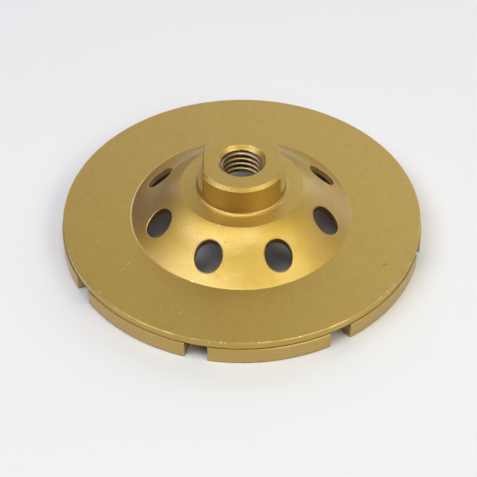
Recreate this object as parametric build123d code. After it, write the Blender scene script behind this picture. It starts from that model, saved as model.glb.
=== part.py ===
from build123d import *
import os
from math import cos, radians, sin

# Single row segmented cup grinding wheel, lying on its segments with the hub up.
# Millimetres, Z up, origin on the wheel's axis in the plane of the grinding faces.

# Rim plate
rim_diameter = 115.0
rim_thickness = 2.7
rim_top_chamfer = 0.2
rim_lower_chamfer = 0.35

# Abrasive segments, brazed under the rim plate
segment_count = 8
segment_height = 5.65
segment_width = 7.0
segment_overhang = 0.4
segment_edge_chamfer = 0.3
gap_angle = 7.1
first_gap_angle = 30.0

# Dome between the rim plate and the hub, with slopes in degrees below level
foot_diameter = 70.8
foot_slope = 34.0
foot_fillet = 0.7
shoulder_diameter = 39.2
shoulder_rise = 11.3
shoulder_slope = 22.0
shoulder_fall = 0.45
curve_fullness = 0.5
dome_wall = 1.8
web_thickness = 3.6

# Holes through the dome, leaning outward at the top
hole_count = 8
hole_diameter = 8.9
hole_circle_diameter = 54.8
hole_tilt = 10.0
first_hole_angle = 22.5

# Hub with two wrench flats, 24 mm across
hub_diameter = 28.0
hub_height = 9.9
hub_chamfer = 1.0
hub_root_fillet = 1.2
flat_depth = 2.0
flat_floor_rise = 2.1

# Bore for an M14 spindle, cut here at the thread's major diameter
thread_diameter = 14.0
thread_reach = 10.0
countersink_depth = 0.7
relief_diameter = 20.0

# Places that follow from the sizes above
rim_radius = rim_diameter / 2
rim_underside = segment_height
rim_top = rim_underside + rim_thickness
hub_radius = hub_diameter / 2
hub_base = rim_top + shoulder_rise + shoulder_fall
hub_top = hub_base + hub_height
web_underside = hub_base - web_thickness
thread_bottom = hub_top - thread_reach


def step(length, fall):
    """A step outward in the r, z section that falls by an angle below level."""
    return Vector(length * cos(radians(fall)), -length * sin(radians(fall)))


def dome_curve(inset):
    """Control points of the dome's ogee, moved into the metal by inset."""
    shoulder = Vector(shoulder_diameter / 2, rim_top + shoulder_rise)
    foot = Vector(foot_diameter / 2, rim_top) - step(foot_fillet, foot_slope)
    shoulder += step(inset, shoulder_slope + 90)
    foot += step(inset, foot_slope + 90)
    handle = curve_fullness * (foot - shoulder).length
    return [shoulder, shoulder + step(handle, shoulder_slope), foot - step(handle, foot_slope), foot]


def turned(outline):
    """Solid of revolution about the wheel's axis from a closed outline in r, z."""
    return revolve(Plane.XZ * make_face(outline), axis=Axis.Z)


def column(diameter, bottom, top):
    """An upright cylinder on the axis between two heights."""
    return Pos(0, 0, (bottom + top) / 2) * Cylinder(diameter / 2, top - bottom)


def outer_form():
    """The wheel's outer skin, still solid down to the rim plate's underside."""
    curve = dome_curve(0)
    hub_side = FilletPolyline(
        (0, rim_underside),
        (0, hub_top),
        (hub_radius - hub_chamfer, hub_top),
        (hub_radius, hub_top - hub_chamfer),
        (hub_radius, hub_base),
        curve[0],
        radius=[0, 0, 0, hub_root_fillet],
    )
    rim_side = FilletPolyline(
        curve[-1],
        (foot_diameter / 2, rim_top),
        (rim_radius - rim_top_chamfer, rim_top),
        (rim_radius, rim_top - rim_top_chamfer),
        (rim_radius, rim_underside + rim_lower_chamfer),
        (rim_radius - rim_lower_chamfer, rim_underside),
        (0, rim_underside),
        radius=[foot_fillet, 0, 0, 0, 0],
    )
    return turned(hub_side + Bezier(*curve) + rim_side)


def cup_cavity():
    """The hollow under the dome, up to the flat web that carries the hub."""
    curve = dome_curve(dome_wall)
    mouth = curve[-1] + step((curve[-1].Y - rim_underside) / sin(radians(foot_slope)), foot_slope)
    roof = Polyline((0, rim_underside), (0, curve[0].Y), curve[0])
    floor = Polyline(curve[-1], mouth, (0, rim_underside))
    return turned(roof + Bezier(*curve) + floor) & column(rim_diameter, rim_underside, web_underside)


def bore():
    """Spindle bore with its countersink above and clearance under the thread."""
    thread_radius = thread_diameter / 2
    flare = Cone(thread_radius, thread_radius + countersink_depth, countersink_depth)
    countersink = Pos(0, 0, hub_top - countersink_depth / 2) * flare
    thread = column(thread_diameter, thread_bottom, hub_top)
    return countersink + thread + column(relief_diameter, rim_underside, thread_bottom)


def wrench_flats():
    """Blocks that mill two flats down the hub to a ledge above its root."""
    height = hub_height - flat_floor_rise
    reach = hub_radius - flat_depth + hub_radius / 2
    block = Box(hub_radius, hub_diameter, height)
    return [Pos(side * reach, 0, hub_top - height / 2) * block for side in (-1, 1)]


def dome_holes():
    """Drills on a pitch circle at the level of the rim plate's top, all leaning outward."""
    lean = Plane(
        origin=(hole_circle_diameter / 2, 0, rim_top),
        z_dir=(sin(radians(hole_tilt)), 0, cos(radians(hole_tilt))),
    )
    drill = lean * Cylinder(hole_diameter / 2, 2 * (hub_base - rim_underside))
    return [Rot(0, 0, first_hole_angle + k * 360 / hole_count) * drill for k in range(hole_count)]


def wheel_body():
    """The turned steel wheel: rim plate, dome, hub and bore in one piece."""
    body = outer_form() - cup_cavity() - bore()
    for cutter in wrench_flats() + dome_holes():
        body -= cutter
    return body


def segment():
    """An abrasive segment with radial ends, starting at azimuth 0, with its outer edges eased."""
    outer_radius = rim_radius + segment_overhang
    middle = outer_radius - segment_width / 2
    section = Plane.XZ * Pos(middle, segment_height / 2) * Rectangle(segment_width, segment_height)
    arc = revolve(section, axis=Axis.Z, revolution_arc=360 / segment_count - gap_angle)
    outer_face = arc.faces().filter_by(GeomType.CYLINDER).sort_by(lambda f: f.radius)[-1]
    return chamfer(outer_face.edges(), segment_edge_chamfer)


def segments():
    """The ring of segments, each a copy turned by one pitch, in order round the rim."""
    first = first_gap_angle + gap_angle / 2
    return [Rot(0, 0, first + k * 360 / segment_count) * segment() for k in range(segment_count)]


os.makedirs("parts", exist_ok=True)
export_step(wheel_body(), "parts/wheel_body.step")
for number, piece in enumerate(segments(), start=1):
    export_step(piece, f"parts/segment_{number}.step")
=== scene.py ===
from functools import reduce
from math import ceil, cos, floor, pi, radians, sin, tan

import bmesh
import bpy
from mathutils import Matrix, Vector


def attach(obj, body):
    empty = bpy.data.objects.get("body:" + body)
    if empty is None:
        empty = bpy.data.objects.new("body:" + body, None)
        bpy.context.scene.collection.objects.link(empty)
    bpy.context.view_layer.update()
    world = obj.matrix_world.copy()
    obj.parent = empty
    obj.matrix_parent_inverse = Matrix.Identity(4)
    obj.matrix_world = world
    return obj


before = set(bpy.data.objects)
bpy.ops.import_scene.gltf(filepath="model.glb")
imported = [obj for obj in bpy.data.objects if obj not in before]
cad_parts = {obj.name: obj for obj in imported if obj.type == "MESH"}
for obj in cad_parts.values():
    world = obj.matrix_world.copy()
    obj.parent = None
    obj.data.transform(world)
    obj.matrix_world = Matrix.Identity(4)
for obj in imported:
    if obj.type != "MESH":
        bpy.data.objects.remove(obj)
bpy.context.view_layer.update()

# A cup grinding wheel painted gold, lying on its eight segments with the hub up.
# Places on it are in millimetres from its axis and from the table, angles in degrees.
MM = 0.001
SEGMENT_COUNT = 8
RIM_RADIUS = 57.5
RIM_TOP = 8.35
HUB_RADIUS = 14.0
HUB_TOP = 30.0

# Rings round the wheel, by distance from its axis: where each starts, is full, fades and ends
DOME = (19.0, 20.0, 35.0, 36.0)
DOME_HOLLOW = (19.5, 26.3, 26.3, 32.5)
DOME_FOOT_HIGHLIGHT = (35.4, 35.6, 35.8, 36.0)
FOOT_GROOVE = (35.2, 35.6, 35.6, 36.0)
HUB_WALL_SHADE_RING = (HUB_RADIUS - 0.5, HUB_RADIUS - 0.1, HUB_RADIUS + 0.2, HUB_RADIUS + 0.6)
HUB_ROOT_HIGHLIGHT = (14.95, 15.10, 15.25, 15.40)

# The holes through the dome, on a circle at the level of the rim's top
HOLE_RADIUS = 4.45
HOLE_CIRCLE = 27.4
HOLE_LEAN = 10.0
HOLE_STEP = 45.0

# The thread in the bore: its pitch, radii, ends, the height of a crest at the back, and its form
THREAD_PITCH = 2.0
THREAD_CREST = 6.05
THREAD_ROOT = 6.985
THREAD_BACKING = 7.03
THREAD_LOW = 20.0
THREAD_HIGH = 29.3
CREST_AT_BACK = 1.15
CREST_HALF_WIDTH = 0.25
FLANK_HEIGHT = 0.55
# Columns of points round the thread's wall, and the points' heights from each crest
THREAD_COLUMNS = 120
THREAD_STEPS = [
    -0.25, -0.12, 0.0, 0.12, 0.25, 0.36, 0.47, 0.58, 0.69,
    0.80, 0.93, 1.06, 1.20, 1.31, 1.42, 1.53, 1.64,
]
# Points nearer than this are joined, and edges shorter than this are dropped, in metres
WELD = 2e-6
SLIVER = 1e-6
SHARP_EDGE = 25

# Half the outline of a sloping flat, from its top down, in front and inside the hub
FLAT_FACE = [(12.01, 5.0, 29.93), (12.07, 7.10, 29.0), (12.5, 6.28, 22.2)]
FLAT_BACK = [(11.9, 5.0, 29.93), (11.9, 7.2, 29.0), (11.9, 7.2, 22.2)]

# The camera of the product shot: lens and film in millimetres, place in metres
LENS_LENGTH = 114.87
FILM_WIDTH = 36.0
CAMERA_PLACE = (-0.00676, -0.36004, 0.3423)
CAMERA_TURN = -0.9
LOOK_DOWN = 43.87
CAMERA_ROLL = -0.238

# The room, in metres, and its light without the soft boxes
TABLE_REACH = 10.0
ROOM_GLOW = 0.03
BOX_WIDTH = 0.4
# Boxes above this height are narrower
HIGH_BOX = 60
HIGH_BOX_WIDTH = 0.3

# Square soft boxes one metre from the wheel: name, azimuth and height,
# then how bright their face looks in red, green and blue
SOFT_BOXES = [
    ("overhead", 300, 78, 6.12, 5.90, 5.46),
    ("front_left_high", 216, 64, 5.62, 6.03, 6.77),
    ("front_high", 252, 64, 3.47, 3.46, 2.90),
    ("right", 330, 48, 4.94, 4.72, 3.38),
    ("front_right_low", 300, 30, 3.26, 3.26, 3.47),
    ("left", 180, 48, 3.06, 2.94, 3.15),
    ("front_left", 210, 48, 2.80, 3.01, 3.46),
    ("back_right", 60, 48, 0.82, 0.81, 0.83),
    ("back_right_low", 60, 30, 1.51, 1.60, 1.88),
    ("right_side", 30, 30, 0.57, 0.56, 0.55),
    ("right_low", 0, 30, 1.28, 1.19, 1.01),
    ("right_strip", 45, 14, 1.19, 1.21, 1.65),
    ("back_left_low", 120, 30, 1.20, 1.04, 1.40),
    ("back_left_strip", 135, 14, 0.08, 0.05, 0.40),
    ("back", 90, 48, 0.73, 0.69, 0.59),
    ("back_low", 90, 30, 0.58, 0.63, 0.72),
    ("back_strip", 90, 14, 0.83, 0.88, 1.04),
]

# Colours in red, green, blue and opacity
ROOM_WHITE = (1.0, 1.0, 1.0, 1.0)
PAPER_WHITE = (0.80, 0.80, 0.81, 1.0)
GOLD_DARK = (0.49, 0.332, 0.072, 1.0)
GOLD_PALE = (0.62, 0.423, 0.095, 1.0)
HUB_WALL_SHADE_GOLD = (0.53, 0.325, 0.075, 1.0)
LEFT_FLAT_SHADE = (0.22, 0.14, 0.06, 1.0)
RIGHT_FLAT_HIGHLIGHT = (0.90, 0.78, 0.55, 1.0)
UNDERSIDE_SHADE_BROWN = (0.25, 0.155, 0.08, 1.0)
FRONT_HOLE_SHADE = (0.30, 0.16, 0.07, 1.0)
BACK_HOLE_LIGHT = (0.95, 0.60, 0.22, 1.0)
NICK_AND_HIGHLIGHT_GOLD = (0.95, 0.74, 0.34, 1.0)
PIT_BROWN = (0.20, 0.12, 0.04, 1.0)
SEGMENT_DARK = (0.475, 0.326, 0.092, 1.0)
SEGMENT_PALE = (0.60, 0.415, 0.120, 1.0)
GRIT_DARK = (0.17, 0.15, 0.12, 1.0)
GRIT_PALE = (0.42, 0.38, 0.31, 1.0)
CREST_GOLD = (0.52, 0.40, 0.17, 1.0)
COUNTERSINK_GOLD = (0.58, 0.39, 0.10, 1.0)
GROOVE_SHADE_BROWN = (0.14, 0.085, 0.045, 1.0)

# The paint's clear coat, and how strongly its flake and its clouds show
COAT = 0.56
COAT_ROUGHNESS = 0.22
FLAKE_CONTRAST = 1.4
CLOUD_CONTRAST = 0.4

# Depths of the dome's finest form, which the paint's relief carries
HOLLOW_DEPTH = 0.5
GROOVE_DEPTH = 0.12
EASING_DEPTH = 0.15

# Marks in the paint: x, y, z and reach
DARK_PITS = [
    (-5.4, -23.7, 17.4, 0.45),
    (-6.4, -29.5, 12.3, 0.35),
    (-19.2, -15.7, 17.1, 0.34),
    (-18.0, -15.9, 17.6, 0.28),
    (-14.1, -19.6, 17.4, 0.26),
    (44.2, -25.3, 8.35, 0.50),
    (43.5, -25.2, 8.35, 0.34),
    (42.8, 31.2, 8.35, 0.34),
]
FAINT_NICKS = [
    (-35.7, -22.9, 8.35, 0.42),
    (-36.1, -23.5, 8.35, 0.34),
    (-37.9, -26.0, 8.35, 0.30),
    (-33.6, -39.8, 8.35, 0.34),
    (-33.5, -39.2, 8.35, 0.30),
    (-25.2, -41.8, 8.35, 0.40),
    (-19.5, -44.7, 8.35, 0.40),
    (-18.6, -43.9, 8.35, 0.30),
    (-13.9, -46.2, 8.35, 0.34),
    (-6.9, -47.1, 8.35, 0.32),
    (-45.9, -12.9, 8.35, 0.36),
    (23.6, -41.7, 8.35, 0.28),
    (-26.6, -0.7, 15.7, 0.40),
    (-26.4, -3.3, 15.7, 0.32),
    (-32.5, -2.5, 10.3, 0.40),
]
EDGE_NICKS = [
    (-16.0, -31.6, 8.3, 0.50),
    (-7.5, -18.2, 19.6, 0.40),
    (-44.2, -35.6, 8.35, 0.40),
    (-38.6, -42.6, 8.3, 0.50),
    (-39.2, -42.1, 8.3, 0.40),
    (-34.9, -45.7, 8.3, 0.45),
    (-32.6, -47.4, 8.3, 0.45),
    (-10.9, -56.5, 8.1, 0.40),
    (-7.4, -56.9, 8.3, 0.55),
    (-6.2, -57.1, 8.2, 0.50),
    (2.0, -57.4, 8.3, 0.45),
    (3.9, -57.3, 8.3, 0.55),
    (16.2, -55.0, 8.3, 0.40),
    (27.0, -50.7, 8.3, 0.40),
    (43.6, -37.1, 8.3, 0.45),
]


def in_metres(place):
    """The same place in metres."""
    return tuple(part * MM for part in place)


def point_camera():
    """Camera of the product shot: a long lens, looking down from the front."""
    lens = bpy.data.cameras.new("shot_camera")
    lens.sensor_width = FILM_WIDTH
    lens.lens = LENS_LENGTH
    lens.clip_start = 0.01
    lens.clip_end = 2 * TABLE_REACH
    camera = bpy.data.objects.new("shot_camera", lens)
    bpy.context.scene.collection.objects.link(camera)
    place = Matrix.Translation(CAMERA_PLACE)
    turn = Matrix.Rotation(radians(CAMERA_TURN), 4, "Z")
    tip = Matrix.Rotation(radians(90 - LOOK_DOWN), 4, "X")
    roll = Matrix.Rotation(radians(CAMERA_ROLL), 4, "Z")
    camera.matrix_world = place @ turn @ tip @ roll
    bpy.context.scene.camera = camera


class Socket:
    """An output socket of a node tree. Sums on it add Math nodes to the tree."""

    def __init__(self, tree, socket=None):
        self.tree = tree
        self.socket = socket

    def node(self, kind, settings, sockets, output=0):
        """Any node: its settings first, then the values or links of its sockets."""
        made = self.tree.nodes.new("ShaderNode" + kind)
        for name, value in settings.items():
            setattr(made, name, value)
        for key, value in sockets.items():
            if isinstance(value, Socket):
                self.tree.links.new(value.socket, made.inputs[key])
            else:
                made.inputs[key].default_value = value
        return Socket(self.tree, made.outputs[output]) if len(made.outputs) else made

    def math(self, operation, *terms):
        """A Math node on numbers and sockets."""
        return self.node("Math", {"operation": operation}, dict(enumerate(terms)))

    def __add__(self, other):
        return self.math("ADD", self, other)

    __radd__ = __add__

    def __sub__(self, other):
        return self.math("SUBTRACT", self, other)

    def __rsub__(self, other):
        return self.math("SUBTRACT", other, self)

    def __mul__(self, other):
        return self.math("MULTIPLY", self, other)

    __rmul__ = __mul__

    def __truediv__(self, other):
        return self.math("DIVIDE", self, other)

    def __rtruediv__(self, other):
        return self.math("DIVIDE", other, self)

    def __pow__(self, other):
        return self.math("POWER", self, other)

    def most(self, other):
        """The larger of the two."""
        return self.math("MAXIMUM", self, other)

    def between(self, low, high):
        """0 below low, 1 above high, and a smooth rise between them. High may be the lower one."""
        if high < low:
            return 1 - self.between(high, low)
        sockets = {"Value": self, "From Min": low, "From Max": high}
        return self.node("MapRange", {"interpolation_type": "SMOOTHSTEP"}, sockets)

    def within(self, start, full, fading, gone):
        """0 below start, 1 from full to fading, and 0 again above gone."""
        return self.between(start, full) * self.between(gone, fading)

    def mixed(self, under, over):
        """Colour under where this mask is 0, and colour over where it is 1."""
        factor, first_colour, second_colour, result = 0, 6, 7, 2
        sockets = {factor: self, first_colour: under, second_colour: over}
        return self.node("Mix", {"data_type": "RGBA"}, sockets, result)

    def part(self, axis):
        """The X, Y or Z of this place, in millimetres."""
        return self.node("SeparateXYZ", {}, {"Vector": self}, axis) / MM

    def noise(self, size, detail=2.0, roughness=0.5):
        """Soft clouds over this place, of about the given size in millimetres, around 0.5."""
        sockets = {"Vector": self, "Scale": 1 / (size * MM), "Detail": detail, "Roughness": roughness}
        return self.node("TexNoise", {}, sockets)

    def marks(self, spots, ragged):
        """1 at the middle of each spot and 0 past its reach. Ragged is noise around 0."""
        found = []
        for x, y, z, reach in spots:
            sockets = {0: self, 1: in_metres((x, y, z))}
            away = self.node("VectorMath", {"operation": "DISTANCE"}, sockets, "Value") / MM
            found.append((away + 0.9 * reach * ragged).between(reach, 0.35 * reach))
        return reduce(Socket.most, found)


def from_axis(x, y):
    """Distance from the wheel's axis."""
    return (x * x + y * y) ** 0.5


def softbox(name, azimuth, height, red, green, blue):
    """A square studio light in a direction from the wheel, as bright as its face looks."""
    width = HIGH_BOX_WIDTH if height > HIGH_BOX else BOX_WIDTH
    light = bpy.data.lights.new(name, "AREA")
    light.shape = "SQUARE"
    light.size = width
    light.color = (red / green, 1.0, blue / green)
    light.energy = green * pi * width * width
    box = bpy.data.objects.new(name, light)
    bpy.context.scene.collection.objects.link(box)
    turn, rise = radians(azimuth), radians(height)
    direction = Vector((cos(turn) * cos(rise), sin(turn) * cos(rise), sin(rise)))
    box.location = direction
    box.rotation_euler = direction.to_track_quat("Z", "Y").to_euler()
    box.visible_camera = False


def light_room():
    """A dim pale room with soft boxes round the table."""
    world = bpy.data.worlds.new("pale_room")
    world.use_nodes = True
    bpy.context.scene.world = world
    world.node_tree.nodes.clear()
    start = Socket(world.node_tree)
    background = start.node("Background", {}, {"Color": ROOM_WHITE, "Strength": ROOM_GLOW})
    start.node("OutputWorld", {}, {"Surface": background})
    for box in SOFT_BOXES:
        softbox(*box)


def lay_floor():
    """The pale table top under the wheel."""
    mesh = bpy.data.meshes.new("table_top")
    reach = TABLE_REACH
    corners = [(-reach, -reach, 0), (reach, -reach, 0), (reach, reach, 0), (-reach, reach, 0)]
    mesh.from_pydata(corners, [], [(0, 1, 2, 3)])
    table = bpy.data.objects.new("table_top", mesh)
    bpy.context.scene.collection.objects.link(table)
    table.data.materials.append(pale_paper())


def new_material(name):
    """An empty material, and the start of its node tree."""
    material = bpy.data.materials.new(name)
    material.use_nodes = True
    material.node_tree.nodes.clear()
    return material, Socket(material.node_tree)


def join_shader(start, sockets):
    """Join a shader with these sockets to the material's output."""
    shader = start.node("BsdfPrincipled", {}, sockets)
    start.node("OutputMaterial", {}, {"Surface": shader})


def pale_paper():
    """Matt white paper on the table."""
    material, start = new_material("pale_paper")
    join_shader(start, {"Base Color": PAPER_WHITE, "Roughness": 0.55})
    return material


def paint_grain(place):
    """Fine metal flake with faint clouds in it, from dark to light around 0.5."""
    flake = place.noise(0.45, roughness=0.6) - 0.5
    cloud = place.noise(3.0, detail=3.0) - 0.5
    return 0.5 + FLAKE_CONTRAST * flake + CLOUD_CONTRAST * cloud


def paint_relief(place, edge, rough, form=0.0):
    """Normal of sprayed paint: eased edges, flake as high as rough, and the form under it."""
    eased = place.node("Bevel", {"samples": 4}, {"Radius": edge * MM})
    height = rough * place.noise(0.40, roughness=0.6) + form
    sockets = {"Strength": 1.0, "Distance": MM, "Height": height, "Normal": eased}
    return place.node("Bump", {}, sockets)


def across_hole(x, y, z, radius):
    """Distance from the axis of the nearest hole through the dome."""
    step = radians(HOLE_STEP)
    lean = radians(HOLE_LEAN)
    aside = x.math("FLOORED_MODULO", x.math("ARCTAN2", y, x), step) - step / 2
    middle = HOLE_CIRCLE + (z - RIM_TOP) * tan(lean)
    along = (radius * x.math("COSINE", aside) - middle) * cos(lean)
    across = radius * x.math("SINE", aside)
    return from_axis(along, across)


def worn_and_highlit_edges(place, x, z, radius):
    """Paint rubbed thin: patches round the rim's edge, and specks on the hub's and the bore's, over a
    faint painted highlight all along the rim's edge.
    """
    patches = place.noise(6.0)
    chips = place.noise(0.45, detail=1.0)
    rim_edge = z.between(RIM_TOP - 0.4, RIM_TOP - 0.2)
    rim_edge *= radius.between(RIM_RADIUS - 0.4, RIM_RADIUS - 0.2)
    hub_edge = z.between(HUB_TOP - 1.4, HUB_TOP - 1.0) * x.between(0.0, -6.0)
    hub_edge *= radius.between(HUB_RADIUS - 1.6, HUB_RADIUS - 1.2)
    bore_edge = z.between(HUB_TOP - 0.4, HUB_TOP - 0.2) * radius.between(8.0, 7.6)
    specks = chips.between(0.56, 0.68) * (0.6 * hub_edge).most(0.8 * bore_edge)
    # The 0.12 is a painted highlight along the whole rim's edge; the patches are wear.
    return (rim_edge * (0.12 + 0.6 * patches.between(0.50, 0.62))).most(specks)


def dome_form(radius, hole, on_dome, to_left):
    """Height of the dome's finest form: its hollow, the groove at its foot and the eased holes."""
    hollow = radius.within(*DOME_HOLLOW)
    groove = radius.within(*FOOT_GROOVE) * (0.2 + 0.8 * to_left)
    eased = hole.between(HOLE_RADIUS + 0.40, HOLE_RADIUS) * on_dome
    return -HOLLOW_DEPTH * hollow - GROOVE_DEPTH * groove - EASING_DEPTH * eased


def gold_paint():
    """Satin gold paint full of fine metal flake, over turned steel, with its pits and worn specks,
    and painted shade and highlights on the hub, its flats, the holes, the dome's foot and its
    underside.
    """
    material, start = new_material("gold_paint_on_steel")
    place = start.node("TexCoord", {}, {}, "Object")
    facing = start.node("TexCoord", {}, {}, "Normal")
    upward = start.node("SeparateXYZ", {}, {"Vector": facing}, "Z")
    x, y, z = (place.part(axis) for axis in "XYZ")
    radius = from_axis(x, y)
    to_left = x.between(-19.0, -23.0)
    to_right = x.between(3.0, 7.0)
    to_front = y.between(-6.0, -10.0)
    to_back = y.between(4.0, 8.0)

    hole = across_hole(x, y, z, radius)
    on_dome = radius.within(*DOME)
    lit_and_shaded_hole_wall = hole.between(HOLE_RADIUS + 0.10, HOLE_RADIUS + 0.02) * on_dome
    # Painted highlight round the lips of the holes on the left.
    hole_lip_highlight = hole.between(HOLE_RADIUS + 0.35, HOLE_RADIUS + 0.15) * on_dome
    hole_lip_highlight *= (1 - lit_and_shaded_hole_wall) * to_left
    underside_shade = upward.between(-0.1, -0.3) * radius.between(52.0, 51.0)
    hub_wall_shade = radius.within(*HUB_WALL_SHADE_RING) * z.between(HUB_TOP - 1.2, HUB_TOP - 1.5)
    # Painted highlight along the front of the fillet at the hub's root.
    hub_root_highlight = radius.within(*HUB_ROOT_HIGHLIGHT) * to_front
    # Painted highlight along the dome's foot on the left.
    dome_foot_highlight = radius.within(*DOME_FOOT_HIGHLIGHT) * to_left
    beside_hub = x.between(11.95, 12.0).most(x.between(-11.72, -11.85))
    along_flat = (y * y) ** 0.5
    flat_shade_and_highlight = beside_hub * along_flat.between(7.4, 7.2) * z.between(22.25, 22.35)

    ragged = place.noise(0.5) - 0.5
    nicks_and_highlights = (0.6 * place.marks(FAINT_NICKS, ragged)).most(place.marks(EDGE_NICKS, ragged))
    nicks_and_highlights = nicks_and_highlights.most(worn_and_highlit_edges(place, x, z, radius))
    # The nicks also carry painted highlights on the holes' lips, the hub's root and the dome's foot.
    nicks_and_highlights = nicks_and_highlights.most(0.6 * hole_lip_highlight).most(0.9 * hub_root_highlight).most(0.6 * dome_foot_highlight)
    pits = place.marks(DARK_PITS, ragged)

    colour = paint_grain(place).mixed(GOLD_DARK, GOLD_PALE)
    # Painted shade: the hub's wall is darker and redder, except on its right.
    colour = (0.8 * hub_wall_shade * (1 - to_right)).mixed(colour, HUB_WALL_SHADE_GOLD)
    # Painted shade on the left flat and a painted highlight on the right one.
    colour = (0.6 * flat_shade_and_highlight).mixed(colour, to_right.mixed(LEFT_FLAT_SHADE, RIGHT_FLAT_HIGHLIGHT))
    # Painted shade: the dome's underside is dark brown, to deepen the shade inside the cup.
    colour = underside_shade.mixed(colour, UNDERSIDE_SHADE_BROWN)
    # Painted shade on the walls of the front holes, and painted light on the walls of the back ones.
    colour = lit_and_shaded_hole_wall.mixed(colour, to_back.mixed(FRONT_HOLE_SHADE, BACK_HOLE_LIGHT))
    # Pale gold for worn nicks, and for the painted highlights.
    colour = (0.8 * nicks_and_highlights).mixed(colour, NICK_AND_HIGHLIGHT_GOLD)
    colour = (0.8 * pits).mixed(colour, PIT_BROWN)

    form = dome_form(radius, hole, on_dome, to_left)
    sockets = {
        "Base Color": colour,
        "Metallic": 1.0,
        "Roughness": 0.48 - 0.15 * nicks_and_highlights,
        "Coat Weight": COAT - 0.5 * pits,
        "Coat Roughness": COAT_ROUGHNESS,
        "Normal": paint_relief(place, 0.15, 0.075, form),
    }
    join_shader(start, sockets)
    return material


def segment_paint():
    """The same paint over the gritty segments, scuffed off along the grinding face."""
    material, start = new_material("gold_paint_on_segments")
    place = start.node("TexCoord", {}, {}, "Object")
    ragged = place.noise(0.7, detail=3.0) - 0.5
    scuffed = (place.part("Z") + 0.9 * ragged).between(0.55, 0.15)
    painted = paint_grain(place).mixed(SEGMENT_DARK, SEGMENT_PALE)
    bare = place.noise(0.35).between(0.35, 0.65).mixed(GRIT_DARK, GRIT_PALE)
    sockets = {
        "Base Color": (0.8 * scuffed).mixed(painted, bare),
        "Metallic": 1.0,
        "Roughness": 0.50 + 0.1 * scuffed,
        "Coat Weight": COAT - 0.5 * scuffed,
        "Coat Roughness": COAT_ROUGHNESS,
        "Normal": paint_relief(place, 0.15, 0.07),
    }
    join_shader(start, sockets)
    return material


def thread_paint():
    """Paint on the thread: pale on the crests, with painted shade down the flanks and in the grooves.
    """
    material, start = new_material("gold_paint_in_thread")
    place = start.node("TexCoord", {}, {}, "Object")
    x, y, z = (place.part(axis) for axis in "XYZ")
    ragged = place.noise(0.6) - 0.5
    # Painted shade: darker away from the crests, below the countersink.
    groove = (from_axis(x, y) + 0.3 * ragged).between(THREAD_CREST + 0.03, THREAD_CREST + 0.45)
    groove *= z.between(HUB_TOP - 1.1, HUB_TOP - 1.5)
    pale = z.between(HUB_TOP - 1.4, HUB_TOP - 1.1).mixed(CREST_GOLD, COUNTERSINK_GOLD)
    sockets = {
        "Base Color": groove.mixed(pale, GROOVE_SHADE_BROWN),
        "Metallic": 1.0,
        "Roughness": 0.45,
        "Coat Weight": COAT,
        "Coat Roughness": COAT_ROUGHNESS,
        "Normal": paint_relief(place, 0.08, 0.02),
    }
    join_shader(start, sockets)
    return material


def new_piece(name, form):
    """A new object of the scene with this form, its faces all turned outward."""
    bmesh.ops.recalc_face_normals(form, faces=form.faces)
    mesh = bpy.data.meshes.new(name)
    form.to_mesh(mesh)
    form.free()
    piece = bpy.data.objects.new(name, mesh)
    bpy.context.scene.collection.objects.link(piece)
    return piece


def thread_radius(height, crest):
    """Radius of the threaded wall at a height, by its distance from the nearest crest."""
    off = abs((height - crest + THREAD_PITCH / 2) % THREAD_PITCH - THREAD_PITCH / 2)
    flank = min(1.0, max(0.0, (off - CREST_HALF_WIDTH) / FLANK_HEIGHT))
    wall = THREAD_CREST + (THREAD_ROOT - THREAD_CREST) * flank
    countersink = THREAD_ROOT - (THREAD_HIGH - height)
    return min(THREAD_ROOT, max(wall, countersink))


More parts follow.
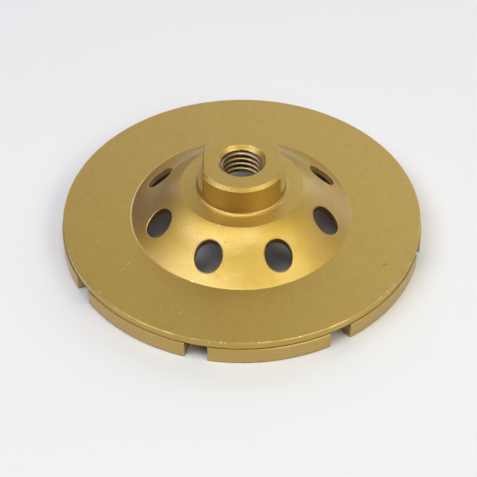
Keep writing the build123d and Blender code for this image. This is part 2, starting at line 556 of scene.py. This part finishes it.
def cut_thread():
    """The right-hand thread as a lining of the bore, opened by the countersink at its top."""
    turns = ceil((THREAD_HIGH - THREAD_LOW) / THREAD_PITCH) + 3
    lowest = floor((THREAD_LOW - CREST_AT_BACK) / THREAD_PITCH) - 1
    form = bmesh.new()
    walls = []
    for column in range(THREAD_COLUMNS + 1):
        angle = 2 * pi * column / THREAD_COLUMNS
        crest = CREST_AT_BACK + THREAD_PITCH * (angle - pi / 2) / (2 * pi)
        places = []
        for turn in range(turns):
            for step in THREAD_STEPS:
                height = crest + THREAD_PITCH * (lowest + turn) + step
                height = min(THREAD_HIGH, max(THREAD_LOW, height))
                places.append((thread_radius(height, crest), height))
        places += [(THREAD_BACKING, THREAD_HIGH), (THREAD_BACKING, THREAD_LOW)]
        wall = [in_metres((r * cos(angle), r * sin(angle), z)) for r, z in places]
        walls.append([form.verts.new(point) for point in wall])
    for left, right in zip(walls, walls[1:]):
        count = len(left)
        for k in range(count):
            n = (k + 1) % count
            form.faces.new((left[k], right[k], right[n], left[n]))
    bmesh.ops.remove_doubles(form, verts=form.verts, dist=WELD)
    bmesh.ops.dissolve_degenerate(form, edges=form.edges, dist=SLIVER)
    thread = new_piece("spindle_thread", form)
    thread.data.shade_smooth()
    thread.data.set_sharp_from_angle(angle=radians(SHARP_EDGE))
    return thread


def slope_flats():
    """The wrench flats' slight slope, as thin wedges that lean on the hub and thicken downward."""
    form = bmesh.new()
    for side in (-1, 1):
        rings = []
        for half in (FLAT_FACE, FLAT_BACK):
            outline = half + [(x, -y, z) for x, y, z in reversed(half)]
            rings.append([form.verts.new(in_metres((side * x, y, z))) for x, y, z in outline])
            form.faces.new(rings[-1])
        outer, inner = rings
        for k in range(len(outer)):
            n = (k + 1) % len(outer)
            form.faces.new((outer[k], outer[n], inner[n], inner[k]))
    return new_piece("flat_slopes", form)


def dress(node, material):
    """Give a CAD node's slots a finish."""
    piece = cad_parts[node]
    if not piece.material_slots:
        piece.data.materials.append(material)
    for slot in piece.material_slots:
        slot.material = material


bpy.context.scene.view_settings.view_transform = "Standard"
point_camera()
light_room()
lay_floor()

on_steel = gold_paint()
dress("wheel_body", on_steel)
on_segments = segment_paint()
for number in range(1, SEGMENT_COUNT + 1):
    dress(f"segment_{number}", on_segments)

thread = cut_thread()
thread.data.materials.append(thread_paint())
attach(thread, "root")

slopes = slope_flats()
slopes.data.materials.append(on_steel)
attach(slopes, "root")
